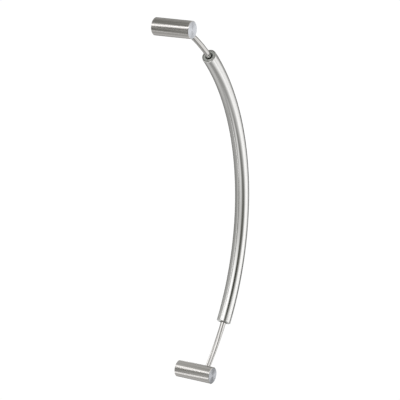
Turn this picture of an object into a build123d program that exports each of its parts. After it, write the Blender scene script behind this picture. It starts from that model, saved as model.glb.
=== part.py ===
from build123d import *
import math
import os

# Bow-shaped entry door pull. The door's face is the plane y = 0 and the pull stands out from it
# towards -Y. The origin is on that face, midway between the two fixing holes. Z is up and the bow
# reaches out sideways, towards +X. The lower half mirrors the upper one. Sizes in millimetres.

# Posts, turned from round bar
FIXING_SPACING = 635.0        # between the axes of the two posts
POST_DIAMETER = 30.0
POST_LENGTH = 70.0
POST_FRONT_CHAMFER = 0.8
POST_BACK_CHAMFER = 0.5

# Fixing holes in the backs of the posts, tapped M10. They are as wide as the thread's roots.
THREAD_DIAMETER = 10.0
THREAD_DEPTH = 24.0
TAP_DRILL_DIAMETER = 8.5
TAP_DRILL_DEPTH = 30.0
DRILL_POINT_ANGLE = 118.0

# Bow bar, bent to a single radius between two straight ends
BOW_REACH = 169.0             # from the post axes to the middle of the bar
BAR_DIAMETER = 9.5
BAR_SETBACK = 16.0            # from the posts' front faces to the bar's plane
BAR_END_WALL = 8.0            # post metal left past the bar's end
BAR_END_CHAMFER = 0.6
BAR_EXPOSED_LENGTH = 87.0     # in sight between a post and the grip, along the bar
SEAT_CLEARANCE = 0.05         # round the bar in its seat
SEAT_END_CLEARANCE = 0.2      # past the bar's end

# Grip, a bent tube with a turned ring pressed into each end
GRIP_DIAMETER = 25.4
GRIP_WALL = 2.0
GRIP_END_ROUNDING = 0.8
RING_LENGTH = 8.0
RING_RECESS = 0.3             # from the tube's end to the ring
RING_RIM_CHAMFER = 0.3
RING_CLEARANCE = 0.06         # round the ring in the tube

# Bushes between the rings and the bar, flush with the rings' inner ends
BUSH_WALL = 1.7
BUSH_RECESS = 2.5             # from the ring's outer face to the bush
BUSH_OUTER_CLEARANCE = 0.05   # round the bush in the ring
BUSH_INNER_CLEARANCE = 0.06   # round the bar in the bush

# Grub screws, which lock the bar in its seats
GRUB_DIAMETER = 5.0
GRUB_RECESS = 2.2             # below the post's surface
GRUB_POINT_CHAMFER = 0.8
GRUB_CUP_DIAMETER = 2.6
GRUB_CUP_ANGLE = 118.0
GRUB_SIDE_CLEARANCE = 0.1     # round the screw in its hole
GRUB_POINT_CLEARANCE = 0.05   # between the screw's point and the bar
HEX_SOCKET_SIZE = 2.5         # across the flats
HEX_SOCKET_DEPTH = 3.0

post_radius = POST_DIAMETER / 2
bar_radius = BAR_DIAMETER / 2
post_height = FIXING_SPACING / 2
bar_seat_depth = POST_DIAMETER - BAR_END_WALL
bush_bore = BAR_DIAMETER + 2 * BUSH_INNER_CLEARANCE
bush_diameter = bush_bore + 2 * BUSH_WALL
ring_bore = bush_diameter + 2 * BUSH_OUTER_CLEARANCE
grip_bore = GRIP_DIAMETER - 2 * GRIP_WALL
ring_diameter = grip_bore - 2 * RING_CLEARANCE

# The bow lies in a plane parallel to the door. Its arc ends at the posts' surfaces, where the
# straight bar ends go on, in line with the arc, through the axes of the posts.
bow_plane = Plane.XZ.offset(POST_LENGTH - BAR_SETBACK)
bow_radius = (BOW_REACH**2 + post_height**2 - post_radius**2) / (2 * BOW_REACH)
bow_centre = (BOW_REACH - bow_radius, 0)
post_angle = math.atan2(post_height, bow_radius - BOW_REACH)
arc_end_angle = post_angle - math.atan2(post_radius, bow_radius)
grip_end_angle = arc_end_angle - BAR_EXPOSED_LENGTH / bow_radius

ON_BASE = (Align.CENTER, Align.CENTER, Align.MIN)


def bow_arc(low, high):
    """Stretch of the bow's centre line between two angles from its middle, in radians."""
    return bow_plane * CenterArc(bow_centre, bow_radius, math.degrees(low), math.degrees(high - low))


def plane_across_bow(angle):
    """Plane square to the bow's centre line at an angle, with its normal towards the upper post."""
    arc = bow_arc(0, angle)
    return Plane(origin=arc @ 1, z_dir=arc % 1)


def rod(plane, diameter, length):
    """Round rod or hole that starts at a plane and follows its normal."""
    return plane * Cylinder(diameter / 2, length, align=ON_BASE)


def drilled_hole(plane, diameter, depth):
    """Blind hole that starts at a plane and follows its normal, down to the drill's point."""
    point_depth = diameter / 2 / math.tan(math.radians(DRILL_POINT_ANGLE / 2))
    point = plane.offset(depth) * Cone(diameter / 2, 0, point_depth, align=ON_BASE)
    return rod(plane, diameter, depth) + point


def bent(section, end_angle):
    """Sweep a section along the bow's centre line, to an angle above and below its middle."""
    arc = bow_arc(-end_angle, end_angle)
    return sweep(Plane(origin=arc @ 0, z_dir=arc % 0) * section, path=arc)


def rims(solid, diameter):
    """Circular edges of a given diameter."""
    return solid.edges().filter_by(GeomType.CIRCLE).filter_by(
        lambda edge: math.isclose(edge.radius, diameter / 2, rel_tol=1e-6)
    )


def grub_plane():
    """Plane on the upper post's axis, square to the bar, with its normal away from the bow."""
    across_bar = Vector(math.cos(arc_end_angle), 0, math.sin(arc_end_angle))
    post_axis_point = Vector(0, BAR_SETBACK - POST_LENGTH, post_height)
    return Plane(origin=post_axis_point, z_dir=across_bar)


def upper_post():
    front = Plane(origin=(0, -POST_LENGTH, post_height), z_dir=(0, 1, 0))
    post = rod(front, POST_DIAMETER, POST_LENGTH)
    post = chamfer(rims(post, POST_DIAMETER).sort_by(Axis.Y)[0], POST_FRONT_CHAMFER)
    post = chamfer(rims(post, POST_DIAMETER).sort_by(Axis.Y)[-1], POST_BACK_CHAMFER)

    back = Plane(origin=(0, 0, post_height), z_dir=(0, -1, 0))
    post -= drilled_hole(back, TAP_DRILL_DIAMETER, TAP_DRILL_DEPTH)
    post -= rod(back, THREAD_DIAMETER, THREAD_DEPTH)

    outside = -bar_radius
    seat_diameter = BAR_DIAMETER + 2 * SEAT_CLEARANCE
    seat_depth = bar_seat_depth + SEAT_END_CLEARANCE - outside
    post -= drilled_hole(plane_across_bow(arc_end_angle).offset(outside), seat_diameter, seat_depth)

    grub_hole_diameter = GRUB_DIAMETER + 2 * GRUB_SIDE_CLEARANCE
    post -= rod(grub_plane(), grub_hole_diameter, POST_DIAMETER)
    return post


def bow_bar():
    arc = bent(Circle(bar_radius), arc_end_angle)
    upper_end = rod(plane_across_bow(arc_end_angle), BAR_DIAMETER, bar_seat_depth)
    upper_end = chamfer(rims(upper_end, BAR_DIAMETER).sort_by(Axis.X)[0], BAR_END_CHAMFER)
    return arc + upper_end + mirror(upper_end, Plane.XY)


def grip_tube():
    tube = bent(Circle(GRIP_DIAMETER / 2) - Circle(grip_bore / 2), grip_end_angle)
    return fillet(rims(tube, GRIP_DIAMETER), GRIP_END_ROUNDING)


def ring_inner_end():
    """Plane of the upper end ring's inner end. The ring is straight, in line with the bow at its middle."""
    middle = plane_across_bow(grip_end_angle - (RING_RECESS + RING_LENGTH / 2) / bow_radius)
    return middle.offset(-RING_LENGTH / 2)


def upper_end_ring():
    inner_end = ring_inner_end()
    ring = rod(inner_end, ring_diameter, RING_LENGTH) - rod(inner_end, ring_bore, RING_LENGTH)
    outer_face = ring.faces().sort_by(Axis(inner_end.origin, inner_end.z_dir))[-1]
    return chamfer(outer_face.edges(), RING_RIM_CHAMFER)


def upper_bush():
    inner_end = ring_inner_end()
    length = RING_LENGTH - BUSH_RECESS
    return rod(inner_end, bush_diameter, length) - rod(inner_end, bush_bore, length)


def upper_grub_screw():
    point_distance = bar_radius + GRUB_POINT_CLEARANCE
    point = grub_plane().offset(point_distance)
    length = post_radius - GRUB_RECESS - point_distance
    screw = rod(point, GRUB_DIAMETER, length)
    point_rim = rims(screw, GRUB_DIAMETER).sort_by(Axis(point.origin, point.z_dir))[0]
    screw = chamfer(point_rim, GRUB_POINT_CHAMFER)

    cup_depth = GRUB_CUP_DIAMETER / 2 / math.tan(math.radians(GRUB_CUP_ANGLE / 2))
    screw -= point * Cone(GRUB_CUP_DIAMETER / 2, 0, cup_depth, align=ON_BASE)
    hexagon = RegularPolygon(HEX_SOCKET_SIZE / 2, 6, major_radius=False)
    screw -= extrude(point.offset(length) * hexagon, -HEX_SOCKET_DEPTH)
    return screw


whole = {
    "bow_bar": bow_bar(),
    "grip_tube": grip_tube(),
}
upper_half = {
    "post": upper_post(),
    "end_ring": upper_end_ring(),
    "bush": upper_bush(),
    "grub_screw": upper_grub_screw(),
}
parts = dict(whole)
for name, solid in upper_half.items():
    parts["upper_" + name] = solid
    parts["lower_" + name] = mirror(solid, Plane.XY)

os.makedirs("parts", exist_ok=True)
for name, solid in parts.items():
    export_step(solid, f"parts/{name}.step")
    print(name, round(solid.volume, 1), "mm3")
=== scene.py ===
import bmesh
import bpy
import math
from mathutils import Matrix, Vector


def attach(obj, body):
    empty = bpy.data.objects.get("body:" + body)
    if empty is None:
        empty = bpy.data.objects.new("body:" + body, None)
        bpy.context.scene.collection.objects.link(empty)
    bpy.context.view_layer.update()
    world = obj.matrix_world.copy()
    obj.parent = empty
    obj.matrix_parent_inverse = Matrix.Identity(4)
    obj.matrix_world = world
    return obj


# Looks of a bow-shaped entry door pull in satin stainless steel: finishes for its solids, the
# threads in its tapped holes, and a photo studio. Lengths are in millimetres until they are
# multiplied by MM. Angles are in degrees unless a name says radians.

MM = 0.001

# Sizes of the solids that the looks follow
POST_HEIGHT = 317.5           # of the upper post's axis above the origin
POST_RADIUS = 15.0
POST_LENGTH = 70.0
POST_FRONT_CHAMFER = 0.8
POST_BACK_CHAMFER = 0.5
BOW_CENTRE_X = -213.077       # of the bow's arc, at height 0
BOW_PLANE_Y = -54.0
BOW_RADIUS = 382.077
BAR_RADIUS = 4.75
BAR_LEAN_RADIANS = 0.94046    # of the bar's ends in the posts, from upright
GRIP_RADIUS = 12.7
GRIP_END_RADIANS = 0.71276    # angle from the bow's middle to a grip end
GRIP_END_ROUNDING = 0.8
RING_RADIUS = 10.64
RING_BORE_RADIUS = 6.56
GRUB_HOLE_RADIUS = 2.6

# Threads
FIXING_THREAD_RADIUS = 5.0
FIXING_THREAD_CREST = 4.25    # radius that the ridge reaches in to
FIXING_THREAD_PITCH = 1.5
FIXING_THREAD_DEPTH = 24.0
GRUB_THREAD_CREST = 2.1
GRUB_THREAD_PITCH = 0.8
GRUB_THREAD_LOW = 12.95       # from the post's axis
GRUB_THREAD_HIGH = 14.6
THREAD_STEPS = 36             # in each turn
THREAD_ROOT_HALF_WIDTH = 0.44     # times the pitch
THREAD_CREST_HALF_WIDTH = 0.125   # times the pitch
THREAD_SINK = 1.01            # how far into the wall its root goes, times the hole's radius
THREAD_RUN_OUT = 0.4          # turns in which the ridge rises to full height
THREAD_END_HEIGHT = 0.02      # of the ridge's height, where it starts and stops

# Camera, solved from the photographed outline
CAMERA_TARGET = (59.15, -30.0, -9.24)
CAMERA_AZIMUTH = -59.1667
CAMERA_ELEVATION = 22.1533
CAMERA_ROLL = -3.3621
CAMERA_DISTANCE = 2743.3
CAMERA_LENS = 141.747
CAMERA_SENSOR_WIDTH = 36
CAMERA_CLIP_METRES = (0.1, 200)

# Studio
STUDIO_CENTRE = (60.0, -40.0, 0.0)
TENT_RADIUS = 1300.0
TENT_SUBDIVISIONS = 5
EVEN_LIGHT = 0.577            # from the tent's top down to level
FALL_DOWNWARDS = 0.204        # that the even light loses from level to straight below
EVEN_LIGHT_TINT = (1.0, 1.002, 0.97)
DARKEST_LIGHT = 0.01
PATCH_SQUARENESS = 4.0        # 2 would make a patch an ellipse
BACKGROUND_LIGHT = 1.03       # of the floor and the world, a little past white
FLOOR_HEIGHT = -3000.0        # lower than the camera goes when it looks up from below
FLOOR_SIZE = 60000.0

# Finishes
POST_COLOUR = (0.62, 0.602, 0.59)
POST_ROUGHNESS = 0.13
# Front faces: the same steel, tinted bluish and darker as a painted reflection
POST_FACE_REFLECTION_COLOUR = (0.515, 0.527, 0.56)
POST_FACE_ROUGHNESS = 0.26
POST_ANISOTROPY = 0.75
GRIP_COLOUR = (0.669, 0.664, 0.661)
GRIP_ROUGHNESS = 0.15
GRIP_ANISOTROPY = 0.8
BAR_COLOUR = (0.61, 0.597, 0.588)
BAR_ROUGHNESS = 0.09
BAR_ANISOTROPY = 0.6
RING_COLOUR = (0.63, 0.65, 0.63)
RING_ROUGHNESS = 0.35
RING_ANISOTROPY = 0.8
SCREW_COLOUR = (0.3, 0.3, 0.3)
SCREW_ROUGHNESS = 0.42
SCREW_ANISOTROPY = 0.2
BUSH_COLOUR = (0.03, 0.031, 0.03)
BUSH_ROUGHNESS = 0.5
# Dust on the black bush, which also lightens it as a painted sheen
DUST_AND_SHEEN_COLOUR = (0.22, 0.24, 0.23)
EDGE_TINT = 0.45              # of the steels' reflections at a glancing angle
STEEL_BUMP_HEIGHT = 0.02
BUSH_BUMP_HEIGHT = 0.05
NOISE_ROUGHNESS = 0.6         # how strong a noise's fine detail is
DARK_TONE, LIGHT_TONE = 0.95, 1.05    # between which a steel's colour varies
FACE_DEPTH = 0.02             # that counts as a post's front face
BORE_STARTS = 1.6             # in from the grip's outside, in its wall
BORE_ENDS = 1.9
EDGE_BLEND = 0.15             # width over which a chamfer's burnishing and painted highlight start
# Widths of the darkening at the seats, holes and thread: painted shade with grime and oil
BAR_SHADE_AND_GRIME_WIDTH = 1.6          # of the painted shade and grime round the bar's seats
SCREW_SHADE_AND_GRIME_WIDTH = 0.9        # of the painted shade and grime round the grub screws' holes
THREAD_SHADE_AND_OIL_WIDTH = 0.3
SEAT_MARGIN = 5.0             # from the bar's seat back to where the thread's painted shade and oil can start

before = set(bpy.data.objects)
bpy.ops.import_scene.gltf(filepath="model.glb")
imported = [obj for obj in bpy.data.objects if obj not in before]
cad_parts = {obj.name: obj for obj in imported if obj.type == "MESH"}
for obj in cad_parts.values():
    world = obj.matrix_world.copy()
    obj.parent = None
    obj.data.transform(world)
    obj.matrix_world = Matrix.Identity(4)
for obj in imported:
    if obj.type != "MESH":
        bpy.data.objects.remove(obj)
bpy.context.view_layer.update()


# Node trees

class Nodes:
    """Writes a node tree as expressions. A value is a socket, a number or a vector."""

    def __init__(self, tree):
        self.tree = tree
        tree.nodes.clear()

    def add(self, kind, **settings):
        node = self.tree.nodes.new(kind)
        for name, value in settings.items():
            setattr(node, name, value)
        return node

    def put(self, value, socket):
        if isinstance(value, bpy.types.NodeSocket):
            self.tree.links.new(value, socket)
        else:
            socket.default_value = value

    def math(self, operation, *values):
        node = self.add("ShaderNodeMath", operation=operation)
        for value, socket in zip(values, node.inputs):
            self.put(value, socket)
        return node.outputs[0]

    def plus(self, a, b):
        return self.math("ADD", a, b)

    def minus(self, a, b):
        return self.math("SUBTRACT", a, b)

    def times(self, a, b):
        return self.math("MULTIPLY", a, b)

    def vector(self, operation, *values):
        node = self.add("ShaderNodeVectorMath", operation=operation)
        for value, socket in zip(values, node.inputs):
            self.put(value, socket)
        number = operation in ("LENGTH", "DOT_PRODUCT")
        return node.outputs["Value" if number else "Vector"]

    def scaled(self, vector, factor):
        node = self.add("ShaderNodeVectorMath", operation="SCALE")
        self.put(vector, node.inputs[0])
        self.put(factor, node.inputs["Scale"])
        return node.outputs["Vector"]

    def ramp(self, value, low, high, top=1.0):
        """Smooth step from 0 at low to the top at high. High may be the smaller one."""
        node = self.add("ShaderNodeMapRange", interpolation_type="SMOOTHSTEP")
        names = ("Value", "From Min", "From Max", "To Min", "To Max")
        for name, source in zip(names, (value, low, high, 0.0, top)):
            self.put(source, node.inputs[name])
        return node.outputs["Result"]

    def split(self, vector):
        node = self.add("ShaderNodeSeparateXYZ")
        self.put(vector, node.inputs[0])
        return node.outputs

    def join(self, x, y, z):
        node = self.add("ShaderNodeCombineXYZ")
        for value, socket in zip((x, y, z), node.inputs):
            self.put(value, socket)
        return node.outputs[0]

    def noise(self, vector, detail):
        node = self.add("ShaderNodeTexNoise")
        self.put(vector, node.inputs["Vector"])
        node.inputs["Scale"].default_value = 1.0
        node.inputs["Detail"].default_value = detail
        node.inputs["Roughness"].default_value = NOISE_ROUGHNESS
        return node.outputs[0]

    def mix_colour(self, factor, a, b):
        node = self.add("ShaderNodeMix", data_type="RGBA")
        self.put(factor, node.inputs["Factor"])
        for socket, colour in ((node.inputs[6], a), (node.inputs[7], b)):
            plain = not isinstance(colour, bpy.types.NodeSocket)
            self.put((*colour, 1.0) if plain else colour, socket)
        return node.outputs[2]

    def swing(self, noise, amount):
        """An amount times how far a noise is from its middle."""
        return self.times(self.minus(noise, 0.5), amount)

    def bump(self, height, strength, distance):
        """Normal that a height gives. The distance is the height's full scale, in millimetres."""
        node = self.add("ShaderNodeBump")
        node.inputs["Strength"].default_value = strength
        node.inputs["Distance"].default_value = distance * MM
        self.put(height, node.inputs["Height"])
        return node.outputs[0]

    def position(self):
        """Place on the object, in millimetres."""
        return self.scaled(self.add("ShaderNodeTexCoord").outputs["Object"], 1 / MM)

    def normal(self):
        return self.add("ShaderNodeNewGeometry").outputs["Normal"]

    def finish(self, shader):
        self.put(shader, self.add("ShaderNodeOutputMaterial").inputs["Surface"])


def new_material(name):
    material = bpy.data.materials.new(name)
    material.use_nodes = True
    return material, Nodes(material.node_tree)


def add_object(name, data):
    thing = bpy.data.objects.new(name, data)
    bpy.context.scene.collection.objects.link(thing)
    return thing


def add_shape(name, shape):
    """Turn a bmesh into an object."""
    mesh = bpy.data.meshes.new(name)
    shape.to_mesh(mesh)
    shape.free()
    return add_object(name, mesh)


# Studio

def direction(azimuth, elevation):
    """Unit vector. Azimuth 0 is towards -Y, which is the front, and 90 towards +X."""
    a, e = math.radians(azimuth), math.radians(elevation)
    return Vector((math.sin(a) * math.cos(e), -math.cos(a) * math.cos(e), math.sin(e)))


def make_camera():
    back = direction(CAMERA_AZIMUTH, CAMERA_ELEVATION)
    data = bpy.data.cameras.new("camera")
    data.sensor_width = CAMERA_SENSOR_WIDTH
    data.lens = CAMERA_LENS
    data.clip_start, data.clip_end = CAMERA_CLIP_METRES
    camera = add_object("camera", data)
    place = (Vector(CAMERA_TARGET) + back * CAMERA_DISTANCE) * MM
    aim = (-back).to_track_quat("-Z", "Y").to_matrix().to_4x4()
    roll = Matrix.Rotation(math.radians(CAMERA_ROLL), 4, "Z")
    camera.matrix_world = Matrix.Translation(place) @ aim @ roll
    bpy.context.scene.camera = camera


def make_tent():
    """Round light tent, which shows in reflections but not in the picture. Lamps and dark cards make
    patches on it. Each is given by its middle and half size, both as azimuth and elevation, by its
    tilt, by how soft its edge is from 0 to 1, and by the light that it adds, which is negative for a
    dark card."""
    material, n = new_material("light_tent")
    x, y, z = n.split(n.vector("NORMALIZE", n.position()))
    azimuth = n.math("DEGREES", n.math("ARCTAN2", x, n.times(y, -1.0)))
    elevation = n.math("DEGREES", n.math("ARCSINE", z))
    layers = []

    def patch(middle, half_size, tilt, softness, strength):
        across = n.math("WRAP", n.minus(azimuth, middle[0]), 180.0, -180.0)
        up = n.minus(elevation, middle[1])
        turn = math.radians(tilt)
        c, s = math.cos(turn), math.sin(turn)
        p = n.times(n.plus(n.times(across, c), n.times(up, s)), 1 / half_size[0])
        q = n.times(n.minus(n.times(up, c), n.times(across, s)), 1 / half_size[1])
        powers = [n.math("POWER", n.math("ABSOLUTE", part), PATCH_SQUARENESS) for part in (p, q)]
        rounded = n.math("POWER", n.plus(*powers), 1 / PATCH_SQUARENESS)
        layers.append(n.ramp(rounded, 1 + softness, 1 - softness, strength))

    patch((-87.9, 34.0), (25.5, 23.0), -3, 0.83, 1.13)  # main lamp, up at the left
    patch((-125.4, 33.6), (35.6, 3.0), 81, 0.63, 1.38)  # thin upright lamp at the back left
    patch((-39.1, 3.4), (20.6, 36.3), 5, 0.64, -0.89)  # tall dark card at the front left
    patch((-24.2, -7.3), (31.4, 31.3), -27, 0.56, 0.50)  # wide glow at the front left
    patch((40.9, 1.0), (17.4, 14.6), -46, 0.95, 1.28)  # soft lamp at the front right
    patch((18.5, -22.6), (17.6, 37.2), 7, 0.74, 0.85)  # tall glow low in front
    patch((52.7, -42.2), (9.1, 16.1), -9, 0.34, -1.14)  # dark card low at the front right
    patch((55.3, 8.7), (4.3, 9.5), 41, 0.08, -1.96)  # narrow dark card at the front right
    patch((-117.9, 38.9), (4.5, 30.0), -1, 0.79, -1.08)  # narrow dark card up at the back left
    patch((-117.9, -35.9), (15.4, 3.0), 55, 0.44, 1.38)  # thin slanting lamp low at the back left
    patch((-80.2, -33.8), (11.4, 23.9), 17, 0.95, 0.56)  # glow low at the left
    patch((-154.5, 62.6), (59.4, 5.1), -8, 0.21, -0.33)  # faint dark strip high behind
    patch((171.4, 11.7), (27.6, 7.0), 55, 0.08, 1.52)  # slanting lamp behind
    patch((125.0, -33.5), (3.2, 29.2), 8, 0.29, 2.03)  # thin upright lamp low at the back right
    patch((78.2, -43.8), (35.9, 4.0), -8, 0.66, 1.66)  # thin level lamp low at the right
    patch((170.5, -11.0), (37.5, 12.1), -4, 0.45, -0.14)  # faint shade behind
    patch((139.8, 57.9), (26.6, 5.5), 2, 0.72, -0.27)  # faint dark strip high at the back right
    patch((100.3, -16.5), (18.2, 8.1), 4, 0.08, -1.31)  # dark card at the right, a little low
    patch((-31.1, 42.2), (34.5, 5.9), -22, 0.48, 1.34)  # slanting lamp high at the front left
    patch((154.2, -56.9), (82.0, 15.9), -13, 0.76, 0.33)  # wide glow low behind
    patch((-138.6, 36.0), (12.0, 8.4), 76, 0.08, 0.95)  # small upright lamp at the back left
    patch((8.3, 2.5), (18.0, 3.0), -42, 0.41, -2.15)  # thin slanting dark card in front
    patch((-114.8, 45.3), (9.2, 13.3), 15, 0.25, 0.81)  # small lamp in the dark card at the back left
    patch((-121.3, -22.0), (3.8, 29.4), 4, 0.08, -0.33)  # narrow upright shade low at the back left
    patch((-131.2, -21.7), (6.3, 10.2), 49, 0.14, 0.23)  # faint glow beside it
    patches = layers[0]
    for layer in layers[1:]:
        patches = n.plus(patches, layer)
    below_level = n.math("MINIMUM", elevation, 0.0)
    even = n.plus(EVEN_LIGHT, n.times(below_level, FALL_DOWNWARDS / 90))
    light = n.vector("ADD", n.scaled(EVEN_LIGHT_TINT, even), n.join(patches, patches, patches))
    emission = n.add("ShaderNodeEmission")
    n.put(n.vector("MAXIMUM", light, (DARKEST_LIGHT,) * 3), emission.inputs["Color"])
    n.finish(emission.outputs[0])
    material.cycles.emission_sampling = "NONE"

    shape = bmesh.new()
    bmesh.ops.create_icosphere(shape, subdivisions=TENT_SUBDIVISIONS, radius=TENT_RADIUS * MM)
    tent = add_shape("light_tent", shape)
    tent.data.materials.append(material)
    tent.location = Vector(STUDIO_CENTRE) * MM
    tent.visible_camera = False
    tent.visible_shadow = False


def make_floor():
    """White floor, which only the camera sees, because the tent lights the object."""
    material, n = new_material("floor")
    emission = n.add("ShaderNodeEmission")
    emission.inputs["Strength"].default_value = BACKGROUND_LIGHT
    n.finish(emission.outputs[0])
    half = FLOOR_SIZE / 2 * MM
    signs = ((-1, -1), (1, -1), (1, 1), (-1, 1))
    shape = bmesh.new()
    shape.faces.new([shape.verts.new((half * x, half * y, FLOOR_HEIGHT * MM)) for x, y in signs])
    floor = add_shape("floor", shape)
    floor.data.materials.append(material)
    floor.visible_glossy = False
    floor.visible_diffuse = False
    floor.visible_shadow = False


def make_studio():
    world = bpy.data.worlds.new("studio")
    world.use_nodes = True
    background = world.node_tree.nodes["Background"]
    background.inputs["Color"].default_value = (1, 1, 1, 1)
    background.inputs["Strength"].default_value = BACKGROUND_LIGHT
    bpy.context.scene.world = world
    bpy.context.scene.view_settings.view_transform = "Standard"
    make_tent()
    make_floor()


# Threads

def thread_ridge(name, root, crest, pitch, length, place):
    """Right-handed ridge inside a tapped hole, which runs out into the wall at both ends. Root and
    crest are radii. The hole starts at the place's origin and follows its Z."""
    steps = THREAD_STEPS
    turns = (length - pitch) / pitch
    count = round(turns * steps)
    root_half, crest_half = pitch * THREAD_ROOT_HALF_WIDTH, pitch * THREAD_CREST_HALF_WIDTH
    sunk = root * THREAD_SINK
    shape = bmesh.new()
    rows = []
    for i in range(count + 1):
        angle = math.tau * i / steps
        middle = pitch / 2 + pitch * i / steps
        run_out = min(1.0, min(i, count - i) / (steps * THREAD_RUN_OUT) + THREAD_END_HEIGHT)
        tip = root + (crest - root) * run_out
        half = root_half + (crest_half - root_half) * run_out
        section = ((sunk, -root_half), (tip, -half), (tip, half), (sunk, root_half))
        rows.append([
            shape.verts.new(Vector((r * math.cos(angle), r * math.sin(angle), middle + h)) * MM)
            for r, h in section
        ])
    for low, high in zip(rows, rows[1:]):
        for i in range(len(low)):
            j = (i + 1) % len(low)
            shape.faces.new((low[i], low[j], high[j], high[i]))
    shape.faces.new(rows[0][::-1])
    shape.faces.new(rows[-1])
    bmesh.ops.recalc_face_normals(shape, faces=shape.faces)
    bmesh.ops.transform(shape, matrix=place, verts=shape.verts)
    ridge = add_shape(name, shape)
    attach(ridge, "root")
    return ridge


def placed_along(origin, axis):
    """Matrix that moves the origin to a place and turns Z to an axis."""
    turn = Vector(axis).to_track_quat("Z", "Y").to_matrix().to_4x4()
    return Matrix.Translation(Vector(origin) * MM) @ turn


def make_threads():
    ridges = []
    for half, side in (("upper", 1), ("lower", -1)):
        bottom = (0, -FIXING_THREAD_DEPTH, POST_HEIGHT * side)
        ridges.append(thread_ridge(
            half + "_fixing_thread", FIXING_THREAD_RADIUS, FIXING_THREAD_CREST,
            FIXING_THREAD_PITCH, FIXING_THREAD_DEPTH, placed_along(bottom, (0, 1, 0)),
        ))
        axis = Vector((math.cos(BAR_LEAN_RADIANS), 0, math.sin(BAR_LEAN_RADIANS) * side))
        bottom = Vector((0, BOW_PLANE_Y, POST_HEIGHT * side)) + axis * GRUB_THREAD_LOW
        ridges.append(thread_ridge(
            half + "_grub_thread", GRUB_HOLE_RADIUS, GRUB_THREAD_CREST,
            GRUB_THREAD_PITCH, GRUB_THREAD_HIGH - GRUB_THREAD_LOW, placed_along(bottom, axis),
        ))
    return ridges


# Finishes

def tone(colour, factor):
    return tuple(min(1.0, channel * factor) for channel in colour)


def varied(n, noise, colour, low=DARK_TONE, high=LIGHT_TONE):
    """Colour that goes with a noise from one multiple of itself to another."""
    return n.mix_colour(noise, tone(colour, low), tone(colour, high))


def blended(n, shade, mask, share, goal):
    """Shade that takes on a share of the goal colour where the mask is 1."""
    return n.mix_colour(n.times(mask, share), shade, goal)


def finish_steel(n, colour, roughness, anisotropic, tangent, height, bump_strength):
    shader = n.add("ShaderNodeBsdfPrincipled")
    n.put(colour, shader.inputs["Base Color"])
    shader.inputs["Metallic"].default_value = 1.0
    shader.inputs["Specular Tint"].default_value = (EDGE_TINT, EDGE_TINT, EDGE_TINT, 1.0)
    n.put(roughness, shader.inputs["Roughness"])
    shader.inputs["Anisotropic"].default_value = anisotropic
    n.put(tangent, shader.inputs["Tangent"])
    n.put(n.bump(height, bump_strength, STEEL_BUMP_HEIGHT), shader.inputs["Normal"])
    n.finish(shader.outputs[0])


class AboutPost:
    """Coordinates about the axis of the nearer post, in millimetres."""

    def __init__(self, n):
        x, y, z = n.split(n.position())
        outward = n.minus(n.math("ABSOLUTE", z), POST_HEIGHT)
        self.out = n.join(x, 0.0, n.times(outward, n.math("SIGN", z)))
        self.unit = n.vector("NORMALIZE", self.out)
        self.radius = n.vector("LENGTH", self.out)
        self.depth = y
        # Runs on without a step from the side over the front face
        self.along = n.minus(y, self.radius)
        # From where the bar's line meets the post's, with both posts seen as the upper one
        self.from_bar = n.join(x, n.minus(y, BOW_PLANE_Y), outward)


class AboutBow:
    """Coordinates about the bow's centre line, in millimetres. The angle is in radians."""

    def __init__(self, n):
        x, y, z = n.split(n.position())
        spoke = n.join(n.minus(x, BOW_CENTRE_X), 0.0, z)
        unit = n.vector("NORMALIZE", spoke)
        self.angle = n.math("ARCTAN2", z, n.minus(x, BOW_CENTRE_X))
        self.along = n.times(self.angle, BOW_RADIUS)
        outward = n.minus(n.vector("LENGTH", spoke), BOW_RADIUS)
        forward = n.minus(y, BOW_PLANE_Y)
        section = n.join(outward, forward, 0.0)
        self.radius = n.vector("LENGTH", section)
        self.unit = n.vector("NORMALIZE", section)
        self.tangent = n.vector("CROSS_PRODUCT", unit, (0, 1, 0))
        self.out = n.vector("ADD", n.scaled(unit, outward), n.join(0.0, forward, 0.0))


def grain(n, about, across, along, detail=3.0, start=0.0):
    """Noise stretched round or along an axis. Across and along are its steps: per radius round the
    axis, and per millimetre along it. Different starts give different noises."""
    x, y, z = n.split(n.scaled(about.unit, across))
    place = n.join(n.plus(x, start), n.plus(y, z), n.times(about.along, along))
    return n.noise(place, detail)


def speckle(n, steps, detail):
    """Noise with a number of steps in each millimetre."""
    return n.noise(n.scaled(n.position(), steps), detail)


def ring_tangent(n, axis, out):
    """Direction on the surface that is square to marks running round an axis."""
    return n.vector("CROSS_PRODUCT", n.normal(), n.vector("CROSS_PRODUCT", axis, out))


def distance_from_line(n, place, line):
    return n.vector("LENGTH", n.vector("CROSS_PRODUCT", place, line))


def on_side(n, place, line):
    """1 on the side of the origin that a line points to, else 0."""
    return n.math("GREATER_THAN", n.vector("DOT_PRODUCT", place, line), 0.0)


def post_chamfers(n, post):
    """1 on the posts' chamfers, else 0."""
    front = -POST_LENGTH - POST_RADIUS + POST_FRONT_CHAMFER
    front_edge = n.ramp(post.along, front + EDGE_BLEND, front)
    back = POST_RADIUS - POST_BACK_CHAMFER
    back_edge = n.ramp(n.plus(post.depth, post.radius), back - EDGE_BLEND, back)
    return n.math("MAXIMUM", front_edge, back_edge)


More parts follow.
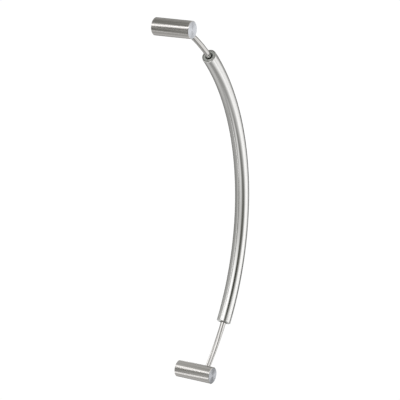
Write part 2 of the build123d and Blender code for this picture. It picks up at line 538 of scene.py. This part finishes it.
def post_shade_and_grime(n, post):
    """Mask of darkening, 1 at the bar's seat, in the grub screw's hole and in the thread, fading to 0
    round them. It is painted shade, with some grime at the seat and hole and oil in the thread.
    """
    screw_line = (math.cos(BAR_LEAN_RADIANS), 0.0, math.sin(BAR_LEAN_RADIANS))
    bar_line = (screw_line[2], 0.0, -screw_line[0])
    from_bar = distance_from_line(n, post.from_bar, bar_line)
    from_screw = distance_from_line(n, post.from_bar, screw_line)
    by_bar = n.times(n.ramp(from_bar, BAR_RADIUS + BAR_SHADE_AND_GRIME_WIDTH, BAR_RADIUS),
                     on_side(n, post.from_bar, bar_line))
    by_screw = n.times(n.ramp(from_screw, GRUB_HOLE_RADIUS + SCREW_SHADE_AND_GRIME_WIDTH, GRUB_HOLE_RADIUS),
                       on_side(n, post.from_bar, screw_line))
    near_thread = n.ramp(post.radius, FIXING_THREAD_RADIUS + THREAD_SHADE_AND_OIL_WIDTH, FIXING_THREAD_RADIUS)
    behind_seat = n.math("GREATER_THAN", post.depth, BOW_PLANE_Y + BAR_RADIUS + SEAT_MARGIN)
    in_thread = n.times(near_thread, behind_seat)
    return n.math("MAXIMUM", n.math("MAXIMUM", by_bar, by_screw), in_thread)


def post_finish(name, colour):
    """Satin stainless steel off the lathe: rings on the sides and faces, front faces tinted bluish and
    darker as a painted reflection, burnished chamfers lightened as a painted highlight, painted shade
    and oil darkening the threads, and painted shade with a little grime where the bar goes in and
    round the grub screw's hole."""
    material, n = new_material(name)
    post = AboutPost(n)
    rings = grain(n, post, across=2.5, along=6.0)
    feed_marks = grain(n, post, across=1.2, along=0.9, start=7.0)
    patches = grain(n, post, across=1.5, along=0.06, start=3.0)
    edge = post_chamfers(n, post)
    shade_and_grime = post_shade_and_grime(n, post)

    face = n.ramp(post.depth, -POST_LENGTH + FACE_DEPTH, -POST_LENGTH + FACE_DEPTH / 2)
    side_shade = varied(n, feed_marks, colour)
    # Front faces tinted bluish and darker: a painted reflection
    face_reflection_colour = varied(n, feed_marks, POST_FACE_REFLECTION_COLOUR)
    shade = n.mix_colour(face, side_shade, face_reflection_colour)
    # Chamfers lightened: a painted highlight, on top of the burnishing's lower roughness
    shade = blended(n, shade, edge, 0.6, tone(colour, 1.25))
    # Seat, grub hole and thread darkened: painted shade, with some grime and oil
    shade = blended(n, shade, shade_and_grime, 0.55, tone(colour, 0.35))
    rough = n.plus(POST_ROUGHNESS, n.times(face, POST_FACE_ROUGHNESS - POST_ROUGHNESS))
    rough = n.plus(rough, n.swing(rings, 0.06))
    rough = n.plus(rough, n.swing(patches, 0.04))
    rough = n.plus(rough, n.times(edge, -0.05))
    rough = n.plus(rough, n.times(shade_and_grime, 0.12))
    height = n.plus(n.times(rings, 0.6), n.times(feed_marks, 0.15))
    tangent = ring_tangent(n, (0, 1, 0), post.out)
    finish_steel(n, shade, rough, POST_ANISOTROPY, tangent, height, bump_strength=0.2)
    return material


def grip_finish(name, colour):
    """Satin stainless tube, ground round its girth. Hands have worn its middle smoother and left
    smudges and a few hairline scratches, and its rounded ends are burnished and lightened as a painted
    highlight. The bore is dull and darkened as painted shade."""
    material, n = new_material(name)
    bow = AboutBow(n)
    lines = grain(n, bow, across=3.0, along=7.0)
    patches = grain(n, bow, across=1.3, along=0.035, start=4.0)
    smudges = grain(n, bow, across=2.2, along=0.09, detail=4.0, start=9.0)
    smudges = n.ramp(smudges, 0.55, 0.75)
    scratches = grain(n, bow, across=42.0, along=0.06, detail=2.0, start=2.0)
    scratches = n.ramp(scratches, 0.72, 0.76)

    worn_least, worn_most = GRIP_END_RADIANS * 0.9, GRIP_END_RADIANS * 0.2
    worn = n.ramp(n.math("ABSOLUTE", bow.angle), worn_least, worn_most)
    from_end = n.times(n.minus(GRIP_END_RADIANS, n.math("ABSOLUTE", bow.angle)), BOW_RADIUS)
    corner = n.plus(from_end, n.minus(GRIP_RADIUS, bow.radius))
    burnish_and_highlight = n.ramp(corner, GRIP_END_ROUNDING * 1.2, GRIP_END_ROUNDING * 0.6)
    bore = n.ramp(bow.radius, GRIP_RADIUS - BORE_STARTS, GRIP_RADIUS - BORE_ENDS)

    shade = varied(n, patches, colour)
    shade = blended(n, shade, smudges, 0.25, tone(colour, 0.85))
    shade = blended(n, shade, scratches, 0.2, tone(colour, 1.25))
    # Rounded ends lightened: a painted highlight, with the burnishing's lower roughness
    shade = blended(n, shade, burnish_and_highlight, 0.5, tone(colour, 1.15))
    # Bore darkened: painted shade inside the tube, along with its dull roughness
    shade = blended(n, shade, bore, 0.6, tone(colour, 0.4))
    rough = n.plus(GRIP_ROUGHNESS, n.swing(lines, 0.05))
    rough = n.plus(rough, n.times(smudges, 0.03))
    rough = n.plus(rough, n.times(worn, -0.02))
    rough = n.plus(rough, n.times(burnish_and_highlight, -0.06))
    rough = n.plus(rough, n.times(bore, 0.2))
    height = n.plus(n.times(lines, 0.6), n.times(scratches, -0.12))
    tangent = ring_tangent(n, bow.tangent, bow.out)
    finish_steel(n, shade, rough, GRIP_ANISOTROPY, tangent, height, bump_strength=0.18)
    return material


def bar_finish(name, colour):
    """Satin stainless bar, with finer marks than the tube and faint draw lines along it."""
    material, n = new_material(name)
    bow = AboutBow(n)
    lines = grain(n, bow, across=2.0, along=9.0)
    draw_lines = grain(n, bow, across=14.0, along=0.05, detail=2.0, start=5.0)
    patches = grain(n, bow, across=1.0, along=0.05, start=8.0)
    shade = varied(n, draw_lines, colour)
    shade = blended(n, shade, patches, 0.3, tone(colour, 0.9))
    rough = n.plus(BAR_ROUGHNESS, n.swing(lines, 0.05))
    rough = n.plus(rough, n.swing(patches, 0.03))
    height = n.plus(n.times(lines, 0.5), n.times(draw_lines, 0.5))
    tangent = ring_tangent(n, bow.tangent, bow.out)
    finish_steel(n, shade, rough, BAR_ANISOTROPY, tangent, height, bump_strength=0.15)
    return material


def ring_finish(name, colour):
    """Turned rings on the face, lightened at the inner rim as a painted highlight, and darker along
    the joint with the tube.
    """
    material, n = new_material(name)
    bow = AboutBow(n)
    across, steps_outward = 2.0, 5.0
    x, y, z = n.split(n.scaled(bow.unit, across))
    faced = n.noise(n.join(x, y, n.times(bow.radius, steps_outward)), detail=3.0)
    rim = n.ramp(bow.radius, RING_BORE_RADIUS + 0.5, RING_BORE_RADIUS + 0.1)
    joint = n.ramp(bow.radius, RING_RADIUS - 0.7, RING_RADIUS - 0.1)
    shade = varied(n, faced, colour, 0.9, 1.1)
    # Inner rim lightened: a painted highlight, with lower roughness
    shade = blended(n, shade, rim, 0.5, tone(colour, 1.3))
    # Darker along the joint with the tube
    shade = blended(n, shade, joint, 0.6, tone(colour, 0.4))
    rough = n.plus(RING_ROUGHNESS, n.swing(faced, 0.15))
    rough = n.plus(rough, n.times(rim, -0.1))
    tangent = ring_tangent(n, bow.tangent, bow.out)
    finish_steel(n, shade, rough, RING_ANISOTROPY, tangent, faced, bump_strength=0.3)
    return material


def screw_finish(name, colour):
    """Dark stainless screw, mottled and slightly rubbed."""
    material, n = new_material(name)
    post = AboutPost(n)
    mottle = speckle(n, steps=2.5, detail=4.0)
    rubbed = n.ramp(mottle, 0.55, 0.75)
    shade = varied(n, mottle, colour, 0.75, 1.2)
    shade = blended(n, shade, rubbed, 0.5, tone(colour, 1.7))
    rough = n.plus(SCREW_ROUGHNESS, n.times(rubbed, -0.14))
    tangent = ring_tangent(n, (0, 1, 0), post.out)
    finish_steel(n, shade, rough, SCREW_ANISOTROPY, tangent, mottle, bump_strength=0.4)
    return material


def bush_finish(name, colour):
    """Moulded nylon, matte and dusty, the dust also lightening it as a painted sheen, with a fine
    speckle and lighter rubbed marks round the bar.
    """
    material, n = new_material(name)
    bow = AboutBow(n)
    specks = speckle(n, steps=4.0, detail=3.0)
    by_bar = n.ramp(bow.radius, BAR_RADIUS + 0.7, BAR_RADIUS + 0.1)
    rubbed = n.times(by_bar, n.ramp(specks, 0.4, 0.6))
    shade = varied(n, specks, colour, 0.6, 1.4)
    shade = blended(n, shade, rubbed, 0.5, tone(colour, 3.0))
    # Dust, which also lightens the dark bush as a painted sheen
    shade = blended(n, shade, n.ramp(specks, 0.2, 0.6), 0.7, DUST_AND_SHEEN_COLOUR)
    shader = n.add("ShaderNodeBsdfPrincipled")
    n.put(shade, shader.inputs["Base Color"])
    n.put(n.plus(BUSH_ROUGHNESS, n.times(specks, 0.25)), shader.inputs["Roughness"])
    n.put(n.bump(specks, 0.3, BUSH_BUMP_HEIGHT), shader.inputs["Normal"])
    n.finish(shader.outputs[0])
    return material


def dress(ridges):
    post = post_finish("post_steel", POST_COLOUR)
    grip = grip_finish("grip_steel", GRIP_COLOUR)
    bar = bar_finish("bar_steel", BAR_COLOUR)
    ring = ring_finish("ring_steel", RING_COLOUR)
    screw = screw_finish("screw_steel", SCREW_COLOUR)
    black = bush_finish("bush_black", BUSH_COLOUR)
    looks = {
        "upper_post": post, "lower_post": post, "grip_tube": grip, "bow_bar": bar,
        "upper_end_ring": ring, "lower_end_ring": ring, "upper_bush": black, "lower_bush": black,
        "upper_grub_screw": screw, "lower_grub_screw": screw,
    }
    for name, material in looks.items():
        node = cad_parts[name]
        node.data.materials.clear()
        node.data.materials.append(material)
    for ridge in ridges:
        ridge.data.materials.append(post)


make_studio()
make_camera()
dress(make_threads())
